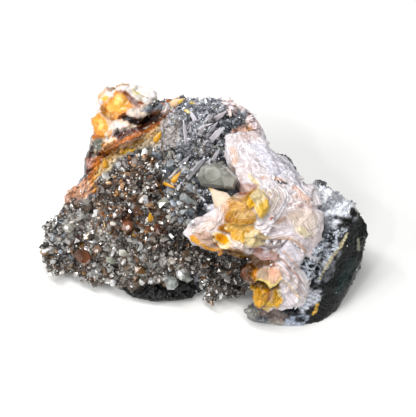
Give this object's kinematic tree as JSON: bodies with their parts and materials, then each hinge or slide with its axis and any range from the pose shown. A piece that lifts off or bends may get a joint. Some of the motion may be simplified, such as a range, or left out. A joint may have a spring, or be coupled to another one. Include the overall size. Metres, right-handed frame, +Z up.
{
  "type": "barite specimen",
  "caption": "Hand specimen of pink and honey-coloured barite blades on dark galena rock, with a sparkling brown cerussite druse, lying on its broken back.",
  "frame": {"origin": "on the resting plane, under the middle of the specimen's box", "axes": "+X along the specimen's length, from the druse to the dark east block; +Z up from the resting plane; the best face looks up and towards -Y"},
  "size_m": [0.0808, 0.0566, 0.0301],
  "materials": {
    "galena_rock": "dark grey sulphide rock, crumbly, with bright cleavage glints",
    "brown_cerussite": "druse of small smoky brown crystals with an adamantine sparkle",
    "pink_barite": "pink-white pearly barite in thin curved blades, with yellow and orange tips",
    "honey_barite": "honey-coloured barite under a white crust, stained brown",
    "clear_cerussite": "clear grey-green crystal, adamantine"
  },
  "bodies": {
    "root": {"galena_matrix": "galena_rock", "cerussite_druse": "brown_cerussite", "pink_barite": "pink_barite", "honey_barite_crest": "honey_barite", "clear_cerussite_crystal": "clear_cerussite"}
  },
  "joints": []
}
